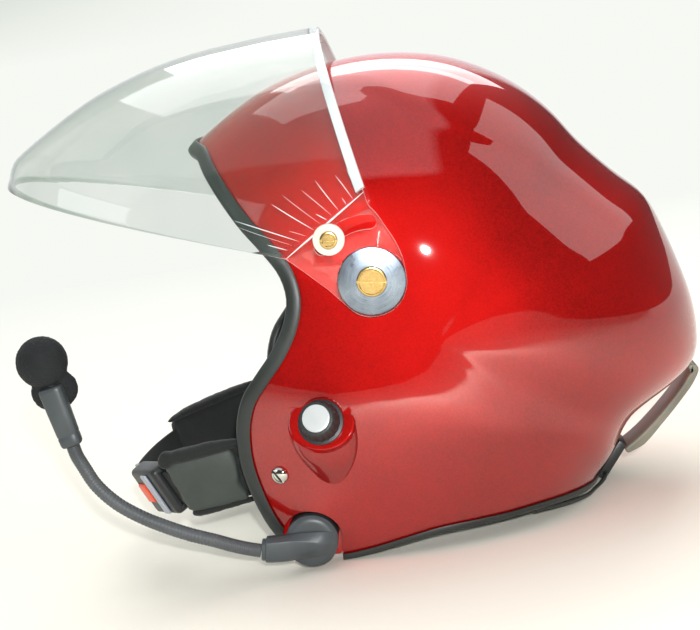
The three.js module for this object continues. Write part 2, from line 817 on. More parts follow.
// Visor hardware: everything on a bolt lies on its axis, along X. Seen outwards: nut, shell, spacer, visor,
// washer and head. The stop's screw is held in the shell's wall. The left side is made, and the right side is
// its mirror image.
const visorInner = visorHalfWidth - visorSheet;
const outsideSolid = solidOf(headform(-clearance));
const insideSolid = solidOf(headform(shellWall + clearance, coarse));

function hardware(name, place, sizes) {
  const axis = new THREE.Matrix4().setPosition(0, ...place);
  const bore = boltHole(sizes.bolt);
  const washerFrom = visorHalfWidth + clearance;
  const washerTo = washerFrom + sizes.washerThickness;
  const headFrom = washerTo + clearance;
  const shellInside = sideX(...place, shellWall) - clearance;
  const nutFrom = shellInside - nutThickness - shellWall;
  const spacer = solidOf(
    moved(ringPiece(visorInner - overrun, visorInner - clearance, bore, sizes.spacer / 2, 14), axis),
  ).subtract(outsideSolid);
  const nutRing = ringPiece(nutFrom, shellInside + overrun, bore, nutDiameter / 2, 10);
  const nut = solidOf(moved(nutRing, axis)).intersect(insideSolid);
  const boltFrom = sizes.nut ? nutFrom : shellInside + 2 * clearance;
  const bolt = moved(
    turned(
      [
        [boltFrom, 0],
        [boltFrom, sizes.bolt / 2],
        [headFrom, sizes.bolt / 2],
        [headFrom, sizes.head / 2],
        [headFrom + sizes.headHeight * 0.7, sizes.head / 2],
        [headFrom + sizes.headHeight, sizes.head / 2 - sizes.headHeight * 0.3],
        [headFrom + sizes.headHeight, 0],
      ],
      12,
    ),
    axis,
  );
  const washer = moved(ringPiece(washerFrom, washerTo, bore, sizes.washer / 2, 20), axis);
  for (const { name: side, sign } of bothSides) {
    addPart(name + "_spacer_" + side, sided(geometryOf(spacer), sign), "blackPlastic");
    if (sizes.nut) addPart(name + "_nut_" + side, sided(geometryOf(nut), sign), "steel");
    addPart(name + "_screw_" + side, sided(bolt, sign), "brass");
    addPart(name + "_washer_" + side, sided(washer, sign), sizes.washerFinish);
  }
}

hardware("pivot", pivotPlace, {
  bolt: pivotBoltDiameter,
  spacer: pivotSpacerDiameter,
  washer: pivotWasherDiameter,
  washerThickness: pivotWasherThickness,
  head: pivotHeadDiameter,
  headHeight: pivotHeadHeight,
  nut: true,
  washerFinish: "zincPlate",
});
hardware("stop", stopPlace, {
  bolt: stopBoltDiameter,
  spacer: stopSpacerDiameter,
  washer: stopWasherDiameter,
  washerThickness: stopWasherThickness,
  head: stopHeadDiameter,
  headHeight: stopHeadHeight,
  washerFinish: "whiteNylon",
});

// Visor: a sheet wrapped from one fold line over the front to the other, with a flat ear plate beyond each
// fold. Points are shares of the visor's length, seen from the pivot.
const visorLength = 219;
const visorCentreShares = [
  [-0.157, 0.591], [-0.232, 0.578], [-0.306, 0.564], [-0.376, 0.548], [-0.446, 0.532], [-0.519, 0.511],
  [-0.592, 0.485], [-0.663, 0.453], [-0.745, 0.41], [-0.814, 0.364], [-0.884, 0.31], [-0.94, 0.264],
  [-0.968, 0.235], [-0.984, 0.175],
];
const foldRearShare = [-0.02, 0.213];
const foldFrontShare = [-0.206, 0.051];
const earOutlineShares = [
  [-0.009, 0.183], [0.009, 0.164], [0.031, 0.133], [0.055, 0.097], [0.072, 0.061], [0.081, 0.025],
  [0.084, -0.011], [0.072, -0.048], [0.043, -0.076], [0, -0.088], [-0.034, -0.081], [-0.065, -0.057],
  [-0.101, -0.025], [-0.137, 0.002], [-0.174, 0.029],
];
const wrapAngle = THREE.MathUtils.degToRad(75);
const bluntShare = 0.25;
const fromPivot = ([yShare, zShare]) => [
  pivotPlace[0] + yShare * visorLength,
  pivotPlace[1] + zShare * visorLength,
];

function visorSheetSolid() {
  const centre = new THREE.SplineCurve(
    visorCentreShares.map(fromPivot).map(([y, z]) => new THREE.Vector2(y, z)),
  );
  const rear = new THREE.Vector2(...fromPivot(foldRearShare));
  const front = new THREE.Vector2(...fromPivot(foldFrontShare));
  const along = 7;
  const across = 16;
  const surface = (t, angle) => {
    const top = centre.getPoint(t);
    const fold = rear.clone().lerp(front, t);
    const rise = (Math.cos(angle) - Math.cos(wrapAngle)) / (1 - Math.cos(wrapAngle));
    const side = fold.lerp(top, Math.max(0, rise) ** (1 - bluntShare * t));
    return new THREE.Vector3((visorHalfWidth * Math.sin(angle)) / Math.sin(wrapAngle), side.x, side.y);
  };
  const rings = [];
  for (let i = 0; i <= along; i++) {
    const t = i / along;
    const outer = [];
    const inner = [];
    for (let j = 0; j <= across; j++) {
      const angle = wrapAngle * ((2 * j) / across - 1);
      const point = surface(t, angle);
      const step = wrapAngle / across / 4;
      const alongSheet = surface(Math.min(1, t + step), angle).sub(surface(Math.max(0, t - step), angle));
      const acrossSheet = surface(t, angle + step).sub(surface(t, angle - step));
      const normal = acrossSheet.cross(alongSheet).normalize();
      if (normal.z < 0) normal.negate();
      outer.push(point);
      inner.push(point.clone().addScaledVector(normal, -visorSheet));
    }
    rings.push([...outer, ...inner.reverse()]);
  }
  return solidOf(skin(rings));
}

function visorSolid() {
  const rear = fromPivot(foldRearShare);
  const front = fromPivot(foldFrontShare);
  const foldLine = new THREE.Vector2(front[0] - rear[0], front[1] - rear[1]).normalize();
  const over = [-foldLine.y * -visorOverlap, foldLine.x * -visorOverlap];
  const shift = over[1] > 0 ? 1 : -1;
  const beyond = ([y, z]) => [y + over[0] * shift, z + over[1] * shift];
  const ear = [rear, ...earOutlineShares.map(fromPivot), front, beyond(front), beyond(rear)];
  const plate = sidePlate(ear, visorInner, visorHalfWidth);
  let visor = visorSheetSolid();
  const arm = new THREE.Vector2(stopPlace[0] - pivotPlace[0], stopPlace[1] - pivotPlace[1]);
  const slotRadius = arm.length();
  const screwAngle = arm.angle();
  const [slotBack, slotAhead] = [THREE.MathUtils.degToRad(43.5), THREE.MathUtils.degToRad(10.5)];
  const slot = [];
  const arcSteps = 8;
  const arc = (cy, cz, radius, from, to) => {
    for (let i = 0; i <= arcSteps; i++) {
      const angle = from + ((to - from) * i) / arcSteps;
      slot.push([cy + radius * Math.cos(angle), cz + radius * Math.sin(angle)]);
    }
  };
  const [start, end] = [screwAngle - slotBack, screwAngle + slotAhead];
  const capAt = (angle) => [
    pivotPlace[0] + slotRadius * Math.cos(angle),
    pivotPlace[1] + slotRadius * Math.sin(angle),
  ];
  arc(...pivotPlace, slotRadius + visorSlotWidth / 2, start, end);
  arc(...capAt(end), visorSlotWidth / 2, end, end + Math.PI);
  arc(...pivotPlace, slotRadius - visorSlotWidth / 2, end, start);
  arc(...capAt(start), visorSlotWidth / 2, start + Math.PI, start + fullTurn);
  const slotTool = sidePlate(
    slot.filter((point, i) => {
      const [y, z] = slot[(i + 1) % slot.length];
      return Math.hypot(point[0] - y, point[1] - z) > clearance;
    }),
    visorInner - overrun,
    visorHalfWidth + overrun,
  );
  const axis = new THREE.Matrix4().setPosition(0, ...pivotPlace);
  const hole = moved(rod(visorInner - overrun, visorHalfWidth + overrun, visorHole / 2, 12), axis);
  for (const { sign } of bothSides) {
    visor = visor.add(solidOf(sided(plate, sign)));
    visor = visor.subtract(solidOf(sided(slotTool, sign))).subtract(solidOf(sided(hole, sign)));
  }
  return visor;
}

addPart("visor", geometryOf(visorSolid()), "clearSheet");

// Volume control: a fluted skirt with a cap turns a shaft in the potentiometer behind the seat.
const shaftBore = boltHole(shaftDiameter);
const potFront = -shellWall - clearance;

function skirtSolid() {
  const from = clearance * 2 + collarHeight;
  const to = from + skirtHeight;
  const rings = [];
  for (const [x, radius] of [
    [from, skirtDiameter / 2],
    [to - skirtHeight / 4, (skirtTopDiameter + skirtDiameter) / 4 + fluteDepth],
    [to, skirtTopDiameter / 2],
  ]) {
    const ring = [];
    for (let i = 0; i < fluteCount * 2; i++) {
      const angle = (Math.PI * i) / fluteCount;
      const cut = i % 2 ? fluteDepth : 0;
      ring.push(
        new THREE.Vector3(x, (radius - cut) * Math.cos(angle), (radius - cut) * Math.sin(angle)),
      );
    }
    rings.push(ring);
  }
  return solidOf(skin(rings))
    .subtract(solidOf(rod(from - overrun, from + skirtHeight / 2, shaftBore, 12)))
    .subtract(solidOf(rod(to - capRecess, to + overrun, capDiameter / 2 + clearance, 20)));
}

const capFrom = clearance * 3 + collarHeight + skirtHeight - capRecess;
const knobParts = [
  [
    "knob_collar",
    ringPiece(clearance, clearance + collarHeight, shaftBore, collarDiameter / 2, 18),
    "blackPlastic",
  ],
  ["knob_skirt", geometryOf(skirtSolid()), "blackPlastic"],
  [
    "knob_cap",
    turned(
      [
        [capFrom, 0],
        [capFrom, capDiameter / 2],
        [capFrom + capHeight * 0.6, capDiameter / 2],
        [capFrom + capHeight, capDiameter / 2 - capHeight * 0.5],
        [capFrom + capHeight, 0],
      ],
      20,
    ),
    "silverPlastic",
  ],
  [
    "volume_shaft",
    rod(potFront - potLength / 2, clearance + collarHeight + skirtHeight / 2, shaftDiameter / 2, 12),
    "steel",
  ],
  [
    "volume_pot",
    geometryOf(
      solidOf(rod(potFront - potLength, potFront, potDiameter / 2, 16)).subtract(
        solidOf(rod(potFront - potLength / 2 - clearance, overrun, shaftBore, 12)),
      ),
    ),
    "blackPlastic",
  ],
];
for (const [name, geometry, finish] of knobParts) addPart(name, moved(geometry, knobFrame), finish);
const potRoomRod = rod(potFront - potLength - clearance, 0, potDiameter / 2 + clearance);
const potRoom = solidOf(moved(potRoomRod, knobFrame));

// Boom: a base in the alcove, an arm that swings on a screw, a ribbed flexible neck, and the microphone.
const boomAt = (x, y, z) => new THREE.Vector3(x, boomPlace[0] + y, boomPlace[1] + z);
const boomBore = boltHole(boomScrewDiameter);
const boomScrewFrom = alcoveFloor - alcoveBossWall + clearance;
const boomHeadFrom = boomKnuckleOuter + clearance;
const boomParts = [
  [
    "boom_base",
    ringPiece(alcoveFloor + clearance, boomKnuckleInner - clearance, boomBore, boomBaseDiameter / 2, 20),
    "blackPlastic",
  ],
  [
    "boom_screw",
    turned(
      [
        [boomScrewFrom, 0],
        [boomScrewFrom, boomScrewDiameter / 2],
        [boomHeadFrom, boomScrewDiameter / 2],
        [boomHeadFrom, boomScrewHead / 2],
        [boomHeadFrom + boomScrewRise, boomScrewHead / 2],
        [boomHeadFrom + boomScrewRise, 0],
      ],
      12,
    ),
    "steel",
  ],
];
for (const [name, geometry, finish] of boomParts) addPart(name, moved(geometry, boomFrame()), finish);

// The arm's sections: how far along its reach, and shares of its thickness, height and drop.
const armShares = [
  [-0.26, 0.5, 0.8, -0.1],
  [0.2, 0.8, 0.98, -0.35],
  [0.62, 1, 0.98, -0.85],
  [1, 1, 0.93, -1],
];
const armReach = 27;
const armDrop = 4.1;
const socket = boomAt(boomPlane, -armReach, -armDrop);

function armSolid() {
  const knuckle = turned(
    [
      [boomKnuckleInner, 0],
      [boomKnuckleInner, boomPivotDiameter / 2],
      [boomKnuckleOuter - boomKnuckleDome, boomPivotDiameter / 2],
      [boomKnuckleOuter, boomPivotDiameter / 2 - boomKnuckleDome * 2],
      [boomKnuckleOuter, 0],
    ],
    20,
  );
  const rings = armShares.map(([along, thick, high, drop]) => {
    const inner = boomPlane - armThickness / 2;
    const lean = inner - boomKnuckleInner - armEdge;
    const x = inner + (armThickness * thick) / 2 - lean * (1 - Math.max(0, along));
    const centre = boomAt(x, -armReach * along, armDrop * drop);
    return placeSection(
      roundedSection(armThickness * thick, armRootHeight * high, armEdge, 1),
      centre,
      new THREE.Vector3(1, 0, 0),
      new THREE.Vector3(0, 0, 1),
    );
  });
  const headRadius = boomScrewHead / 2 + clearance;
  const clearHead = solidOf(rod(boomKnuckleOuter, boomKnuckleOuter + overrun, headRadius, 12));
  const hole = solidOf(rod(boomKnuckleInner - overrun, boomKnuckleOuter + overrun, boomBore, 12));
  const frame = boomFrame();
  return solidOf(moved(knuckle, frame))
    .add(solidOf(skin(rings)))
    .subtract(clearHead.translate(0, ...boomPlace))
    .subtract(hole.translate(0, ...boomPlace));
}

addPart("boom_arm", geometryOf(armSolid()), "blackPlastic");

// The neck's centre line, as shares of the boom's reach beyond the arm.
const boomReach = 102.3;
const neckShares = [
  [-0.005, -0.002], [-0.075, 0.008], [-0.16, 0.026], [-0.247, 0.05], [-0.38, 0.082], [-0.513, 0.125],
  [-0.646, 0.179], [-0.778, 0.255], [-0.883, 0.353], [-0.945, 0.45], [-0.981, 0.513], [-1, 0.566],
];

function neckGeometry() {
  const curve = new THREE.CatmullRomCurve3(
    neckShares.map(([y, z], i) => {
      const start = i ? 0 : -clearance;
      return new THREE.Vector3(socket.x, socket.y + y * boomReach + start, socket.z + z * boomReach);
    }),
  );
  curve.arcLengthDivisions = 400;
  const length = curve.getLength();
  const endShare = neckDiameter / length;
  const places = [[0, 0], [endShare, 0]];
  for (let i = 0; i < neckRibs; i++) {
    const from = endShare + ((1 - 2 * endShare) * i) / neckRibs;
    const step = (1 - 2 * endShare) / neckRibs;
    places.push([from + step * 0.25, neckRibDepth], [from + step * 0.75, 0]);
  }
  places.push([1, 0]);
  const around = 8;
  const ringAt = (share, radius) => {
    const centre = curve.getPointAt(share);
    const tangent = curve.getTangentAt(share);
    const across = new THREE.Vector3(1, 0, 0);
    const up = tangent.clone().cross(across).normalize();
    const ring = [];
    for (let i = 0; i < around; i++) {
      const angle = (fullTurn * i) / around;
      ring.push(
        centre
          .clone()
          .addScaledVector(across, radius * Math.cos(angle))
          .addScaledVector(up, radius * Math.sin(angle)),
      );
    }
    return ring;
  };
  const outer = places.map(([share, depth]) => ringAt(share, neckDiameter / 2 - depth));
  const inner = [];
  const boreRings = Math.ceil(neckRibs / 5);
  for (let i = 0; i <= boreRings; i++) inner.push(ringAt(1 - i / boreRings, neckBore / 2));
  const geometry = skin([...outer, ...inner], true);
  return { geometry, end: curve.getPoint(1), direction: curve.getTangent(1) };
}

const neck = neckGeometry();
addPart("gooseneck", neck.geometry, "blackRubber");

// The microphone's frame: its Z axis goes on from the neck, its X axis points out to the side.
const micUp = neck.direction.clone().normalize();
const micOut = new THREE.Vector3(1, 0, 0);
const micAcross = micUp.clone().cross(micOut);
const micFrame = new THREE.Matrix4()
  .makeBasis(micOut, micAcross, micUp)
  .setPosition(neck.end.clone().addScaledVector(micUp, clearance));
const unitX = new THREE.Vector3(1, 0, 0);
const unitY = new THREE.Vector3(0, 1, 0);

function micHousing(room = 0) {
  const rings = [
    [0, micBaseWidth * 0.86, micThickness * 0.86],
    [micEdge, micBaseWidth, micThickness],
    [micLength - micEdge, micTopWidth, micThickness],
    [micLength, micTopWidth - micEdge, micThickness - micEdge],
  ].map(([up, width, thickness]) =>
    placeSection(
      roundedSection(thickness + 2 * room, width + 2 * room, micEdge + room, 1),
      new THREE.Vector3(0, 0, up + (up ? room : -room)),
      unitX,
      unitY,
    ),
  );
  return skin(rings);
}

function ball(radius, centre, squash, steps = 14) {
  const geometry = new THREE.SphereGeometry(radius, steps, Math.round(steps * 0.7));
  return geometry.scale(...squash).translate(...centre);
}

const capsuleFrom = micLength + clearance;
const foamCentre = [-foamInset / 2, 0, micLength + foamDiameter / 2 - clearance];
const capsule = rod(capsuleFrom, capsuleFrom + capsuleLength, capsuleDiameter / 2, 12);
capsule.rotateY(-Math.PI / 2).translate(-foamInset / 2, 0, 0);
const capsuleTop = capsuleFrom + capsuleLength + clearance;
const capsuleRoom = rod(capsuleFrom - overrun, capsuleTop, capsuleDiameter / 2 + clearance, 12);
capsuleRoom.rotateY(-Math.PI / 2).translate(-foamInset / 2, 0, 0);
const foam = join(
  ball(foamDiameter / 2, foamCentre, [1, 1, 1], 12),
  ball(
    foamHemDiameter / 2,
    [-foamInset, 0, micLength - foamHemDiameter * 0.12],
    [foamHemThickness / foamHemDiameter, 1, 0.86],
    12,
  ),
)
  .subtract(solidOf(capsuleRoom))
  .subtract(solidOf(micHousing(clearance)));
addPart("mic_housing", moved(micHousing(), micFrame), "blackPlastic");
addPart("mic_capsule", moved(capsule, micFrame), "blackPlastic");
addPart("windscreen", moved(geometryOf(foam), micFrame), "foam");

// Lining: everything inside is cut to the shell's inner surface, to the head and to its neighbours.
const headForwardShare = -0.04;
const headUpShare = 0.022;
const neckTaperShare = 0.9;
const neckShiftShare = 0.06;
const headCentre = new THREE.Vector3(0, headForwardShare * shellLength, headUpShare * shellHeight);

// The head's cavity: half an egg on a neck that tapers downwards.
function headCavity(inset = 0) {
  const [wide, long, high] = [headWidth, headLength, headHeight].map((size) => size / 2 - inset);
  const around = 20;
  const levels = 5;
  const ringAt = (z, share, shift) => {
    const ring = [];
    for (let i = 0; i < around; i++) {
      const angle = (fullTurn * i) / around;
      const [x, y] = [wide * share * Math.cos(angle), long * share * Math.sin(angle)];
      ring.push(new THREE.Vector3(x, y + shift, z).add(headCentre));
    }
    return ring;
  };
  const rings = [ringAt(-shellHeight / 2, neckTaperShare, -headHeight * neckShiftShare)];
  for (let i = 0; i <= levels; i++) {
    const angle = ((Math.PI / 2) * i) / levels;
    rings.push(ringAt(high * Math.sin(angle), Math.cos(angle), 0));
  }
  return skin(rings);
}

// The cheek's share of the lining, seen from the side: below and in front of the ear.
const cheekShares = [[-0.6, -0.055], [-0.094, -0.055], [-0.094, -0.122], [0.05, -0.58], [-0.6, -0.58]];
const cheekPlate = (from) => sidePlate(cheekShares.map(onSide), from, shellWidth);
const earFrame = new THREE.Matrix4().setPosition(0, ...earPlace);
const earWell = solidOf(moved(rod(headWidth / 4, shellWidth, earWellRadius, 18), earFrame));
const nutRoom = (place, radius) => {
  const from = sideX(...place, shellWall) - nutThickness - shellWall - 2 * clearance;
  const axis = new THREE.Matrix4().setPosition(0, ...place);
  return solidOf(moved(rod(from, shellWidth, radius + clearance, 10), axis));
};
const onBothSides = (solid) => solid.add(solidOf(sided(geometryOf(solid), -1)));
const headRoom = solidOf(headCavity());

function linerSolid() {
  const cheeks = onBothSides(solidOf(cheekPlate(headWidth / 4)));
  const wells = onBothSides(earWell.add(nutRoom(pivotPlace, nutDiameter / 2)));
  const foamOnly = insideSolid.intersect(solidOf(keepPlate(liningInset, liningInset + neckRollHeight)));
  return largest(foamOnly.subtract(headRoom).subtract(cheeks).subtract(wells));
}

// A pad that lines the cavity between two heights.
function cavityPad(from, to) {
  const points = [[-shellLength, from], [shellLength, from], [shellLength, to], [-shellLength, to]];
  return solidOf(headCavity(clearance))
    .subtract(solidOf(headCavity(clearance + padThickness)))
    .intersect(solidOf(sidePlate(points, -shellWidth, shellWidth)))
    .intersect(solidOf(keepPlate(liningInset + trimWall)));
}

const crownShare = 0.22;
const bandShare = 0.07;
addPart("eps_liner", geometryOf(linerSolid()), "beadFoam");
addPart("crown_pad", geometryOf(cavityPad(crownShare * shellHeight, shellHeight)), "blackFabric");
const bandTop = crownShare * shellHeight - padThickness / 4;
addPart("headband_pad", geometryOf(cavityPad(bandShare * shellHeight, bandTop)), "blackFabric");

// The neck roll follows the base rim round the nape, just below the liner.
const neckRollFrontShare = 0.09;

function neckRollSolid() {
  const inset = shellWall + 2 * clearance + neckRollThickness / 2;
  const front = neckRollFrontShare * shellLength;
  const path = rimPath(baseRimShares, false, 22, inset).filter(({ y }) => y > front);
  const section = roundedSection(neckRollThickness, neckRollHeight, neckRollEdge, 1);
  const up = new THREE.Vector3(0, 0, 1);
  const rings = path.map((point, i) => {
    const tangent = path[Math.min(i + 1, path.length - 1)].clone().sub(path[Math.max(i - 1, 0)]);
    const out = tangent.cross(up).normalize();
    const centre = point.clone().addScaledVector(up, liningInset - clearance + neckRollHeight / 2);
    return placeSection(section, centre, out, up);
  });
  const linerRoom = keepPlate(liningInset - clearance, liningInset + neckRollHeight - clearance);
  return solidOf(skin(rings)).intersect(insideSolid).subtract(solidOf(linerRoom));
}

addPart("neck_roll", geometryOf(neckRollSolid()), "blackFabric");

// Ear cups
const cupBack = cupOuter - cupWall;
const cup = turned(
  [
    [cupBack, 0],
    [cupBack, cupRadius - cupWall],
    [cupInner, cupRadius - cupWall],
    [cupInner, cupRadius],
    [cupOuter - cupEdge, cupRadius],
    [cupOuter, cupRadius - cupEdge],
    [cupOuter, 0],
  ],
  20,
);
const sealFrom = cupInner - clearance - sealThickness;
const sealTo = cupInner - clearance;
const sealRadius = cupRadius + sealProud;
const sealProfile = [
  [sealTo, sealRadius - sealWidth],
  [sealTo, sealRadius],
  [sealFrom + sealEdge, sealRadius],
  [sealFrom, sealRadius - sealEdge],
  [sealFrom, sealRadius - sealWidth + sealEdge],
  [sealFrom + sealEdge, sealRadius - sealWidth],
];
const seal = turned([sealProfile[0], ...sealProfile.reverse()], 16);
const speaker = rod(cupBack - clearance - speakerThickness, cupBack - clearance, speakerDiameter / 2, 16);
const mount = solidOf(moved(rod(cupOuter - cupWall / 2, shellWidth, mountDiameter / 2, 12), earFrame));
const mountedCup = solidOf(moved(cup, earFrame)).add(mount.intersect(insideSolid));
for (const { name, sign } of bothSides) {
  addPart("ear_cup_" + name, sided(geometryOf(mountedCup), sign), "blackPlastic");
  addPart("ear_seal_" + name, sided(moved(seal, earFrame), sign), "blackFabric");
  addPart("ear_speaker_" + name, sided(moved(speaker, earFrame), sign), "steel");
}

// Chin strap: a place inside the wall, with the directions out of it and up along it.
function wallPlace(place, depth, sign) {
  const point = new THREE.Vector3(sideX(...place), ...place);
  const out = surfaceNormal(point);
  const up = new THREE.Vector3(0, 0, 1).addScaledVector(out, -out.z).normalize();
  point.addScaledVector(out, -depth);
  for (const vector of [point, out, up]) vector.x *= sign;
  return { point, out, up };
}

const inHead = ([xShare, yShare, zShare]) =>
  new THREE.Vector3((xShare * shellWidth) / 2, yShare * shellLength, zShare * shellHeight);
const buckleYaw = THREE.MathUtils.degToRad(31.6);
const buckleSlope = THREE.MathUtils.degToRad(12.7);
const buckleRoll = THREE.MathUtils.degToRad(30.2);
const buckleAlong = new THREE.Vector3(
  -Math.cos(buckleSlope) * Math.cos(buckleYaw),
  -Math.cos(buckleSlope) * Math.sin(buckleYaw),
  -Math.sin(buckleSlope),
);
const buckleUp = new THREE.Vector3(0, 0, 1).addScaledVector(buckleAlong, -buckleAlong.z).normalize();
buckleUp.applyAxisAngle(buckleAlong, -buckleRoll);
const buckleOut = buckleUp.clone().cross(buckleAlong);
const bucklePlaceShares = [0.5, -0.52, -0.351];
const buckleFrame = new THREE.Matrix4()
  .makeBasis(buckleAlong, buckleOut, buckleUp)
  .setPosition(inHead(bucklePlaceShares));
const atBuckle = (along, out) => new THREE.Vector3(along, out, 0).applyMatrix4(buckleFrame);

const strapRimPlace = onSide([-0.344, -0.293]);
const strapRimDepth = shellWall + trimWall + 2 * clearance + sleeveThickness / 2 + sleeveRoom;
const freeLeftShares = [[0.714, -0.43, -0.315]];
const freeRightShares = [
  [-0.759, -0.384, -0.308], [-0.625, -0.457, -0.33], [-0.402, -0.523, -0.351], [-0.223, -0.553, -0.366],
  [0, -0.57, -0.377], [0.179, -0.57, -0.377],
];
const tongueTop = -tongueLevel + tongueThickness / 2 + clearance + strapThickness / 2;

// The strap's stations run from behind its screw, past the face rim, to the buckle.
function strapStations(sign, free, ends) {
  const tab = wallPlace(strapScrewPlace, shellWall + strapTabSetback, sign);
  const rim = wallPlace(strapRimPlace, strapRimDepth, sign);
  const forward = rim.point.clone().sub(tab.point);
  forward.addScaledVector(tab.out, -forward.dot(tab.out)).normalize();
  const stations = [-strapTail, 0, strapTail * 0.7].map((reach) => ({
    point: tab.point.clone().addScaledVector(forward, reach),
    up: tab.up,
  }));
  stations.push({ point: rim.point, up: rim.up });
  free.forEach((share, i) => {
    const up = rim.up.clone().lerp(buckleUp, (i + 1) / (free.length + 1)).normalize();
    stations.push({ point: inHead(share), up });
  });
  for (const point of ends) stations.push({ point, up: buckleUp });
  return { stations, sign };
}

const buckleEnd = buckleLength / 2;
const strapLeft = strapStations(1, freeLeftShares, [
  atBuckle(-buckleEnd - strapGrip * 1.5, 0),
  atBuckle(-buckleEnd - clearance, 0),
  atBuckle(-buckleEnd + strapGrip, 0),
]);
const strapRight = strapStations(-1, freeRightShares, [
  atBuckle(buckleEnd + tongueTailLength + 2 * clearance, tongueTop),
  atBuckle(buckleEnd + 2 * clearance, tongueTop),
]);

// The place and directions at a share of the way along a strap.
function strapFrame({ stations, sign }, share) {
  const curve = new THREE.CatmullRomCurve3(
    stations.map(({ point }) => point),
    false,
    "centripetal",
  );
  const tangent = curve.getTangent(share);
  const at = share * (stations.length - 1);
  const i = Math.min(Math.floor(at), stations.length - 2);
  const up = stations[i].up.clone().lerp(stations[i + 1].up, at - i);
  up.addScaledVector(tangent, -up.dot(tangent)).normalize();
  const out = up.clone().cross(tangent).multiplyScalar(sign);
  return { point: curve.getPoint(share), tangent, up, out };
}

function strapSweep(strap, section, from = 0, to = 1) {
  const steps = Math.ceil((strap.stations.length - 1) * 2 * (to - from));
  const rings = [];
  for (let i = 0; i <= steps; i++) {
    const { point, out, up } = strapFrame(strap, from + ((to - from) * i) / steps);
    rings.push(placeSection(section, point, out, up));
  }
  return skin(rings);
}

const flatSection = (thickness, width) => {
  const [a, b] = [thickness / 2, width / 2];
  return [[a, b], [-a, b], [-a, -b], [a, -b]];
};
const strapSection = flatSection(strapThickness, strapWidth);
const strapRoomSection = flatSection(strapThickness + 2 * clearance, strapWidth + 2 * clearance);
const sleeveSection = roundedSection(sleeveThickness, sleeveWidth, sleeveEdge, 1);
const sleeveRoomSection = roundedSection(
  sleeveThickness + 2 * clearance,
  sleeveWidth + 2 * clearance,
  sleeveEdge,
  1,
);
const sleeveReachShares = { left: [0.47, 0.72], right: [0.31, 0.56] };
for (const { name, sign, strap } of [
  { name: "left", sign: 1, strap: strapLeft },
  { name: "right", sign: -1, strap: strapRight },
]) {
  const reach = sleeveReachShares[name];
  const strapRoom = solidOf(strapSweep(strap, strapRoomSection));
  const screwFrame = seatFrame(strapScrewPlace);
  const nutTo = -shellWall - strapTabSetback - strapThickness / 2 - clearance;
  const nutFrom = nutTo - strapNutThickness;
  const boltRoom = rod(-overrun, overrun, boltHole(strapBoltDiameter), 8);
  const nut = solidOf(sided(moved(rod(nutFrom, nutTo, strapNutDiameter / 2, 8), screwFrame), sign))
    .subtract(solidOf(sided(moved(boltRoom, screwFrame), sign)))
    .subtract(strapRoom);
  const dome = strapScrewHeight + clearance;
  const screw = turned(
    [
      [nutFrom, 0],
      [nutFrom, strapBoltDiameter / 2],
      [clearance, strapBoltDiameter / 2],
      [clearance, strapScrewDiameter / 2],
      [dome * 0.45, strapScrewDiameter * 0.45],
      [dome * 0.85, strapScrewDiameter * 0.3],
      [dome, 0],
    ],
    14,
  );
  addPart("strap_screw_" + name, sided(moved(screw, screwFrame), sign), "chrome");
  addPart("strap_tnut_" + name, geometryOf(largest(nut)), "steel");
  const webbing = solidOf(strapSweep(strap, strapSection));
  const webbingCut = webbing.subtract(solidOf(sided(moved(boltRoom, screwFrame), sign)));
  addPart("strap_" + name, geometryOf(webbingCut), "webbing");
  const sleeve = solidOf(strapSweep(strap, sleeveSection, ...reach)).subtract(strapRoom);
  addPart("chin_pad_" + name, geometryOf(sleeve), "blackFabric");
  const nutSpaceRadius = strapNutDiameter / 2 + clearance;
  const nutSpace = moved(rod(nutFrom - clearance, overrun, nutSpaceRadius, 12), screwFrame);
  let pad = solidOf(sided(cheekPlate(cheekPadInner).translate(0, -clearance, -clearance), sign))
    .intersect(insideSolid)
    .intersect(solidOf(keepPlate(liningInset)))
    .subtract(onBothSides(earWell))
    .subtract(solidOf(sided(nutSpace, sign)))
    .subtract(strapRoom)
    .subtract(solidOf(strapSweep(strap, sleeveRoomSection, ...reach)));
  if (sign > 0) pad = pad.subtract(solidOf(alcoveBossRod(clearance))).subtract(potRoom);
  addPart("cheek_pad_" + name, geometryOf(largest(pad)), "blackFabric");
}

// Buckle: X runs along the strap, Y out of the chin side and Z up.
function buckleBlock(from, to, out, thickness, width, edge = 0) {
  const section = edge ? roundedSection(thickness, width, edge, 1) : flatSection(thickness, width);
  const unitOut = new THREE.Vector3(0, 1, 0);
  const unitUp = new THREE.Vector3(0, 0, 1);
  const rings = [from, to].map((along) =>
    placeSection(section, new THREE.Vector3(along, out, 0), unitOut, unitUp),
  );
  return skin(rings);
}

const halfBuckle = buckleThickness / 2;
const buttonFloor = halfBuckle + buttonThickness / 4 - buttonThickness;
const pocketFloor = buttonFloor - buttonTravel - clearance;
const buttonTo = buckleEnd - buttonFromEnd;
const buttonFrom = buttonTo - buttonLength;
const tongueEnd = buckleEnd - tongueDepth + clearance;
const housing = solidOf(buckleBlock(-buckleEnd, buckleEnd, 0, buckleThickness, buckleWidth, buckleEdge))
  .subtract(
    solidOf(
      buckleBlock(
        buttonFrom - clearance,
        buttonTo + clearance,
        (pocketFloor + halfBuckle + overrun) / 2,
        halfBuckle + overrun - pocketFloor,
        buttonWidth + 2 * clearance,
      ),
    ),
  )
  .subtract(
    solidOf(
      buckleBlock(
        buckleEnd - tongueDepth,
        buckleEnd + overrun,
        -tongueLevel,
        tongueThickness + 2 * clearance,
        tongueWidth + 2 * clearance,
      ),
    ),
  )
  .subtract(
    solidOf(
      buckleBlock(
        -buckleEnd - overrun,
        -buckleEnd + strapGrip + clearance,
        0,
        strapThickness + 2 * clearance,
        strapWidth + 2 * clearance,
      ),
    ),
  );
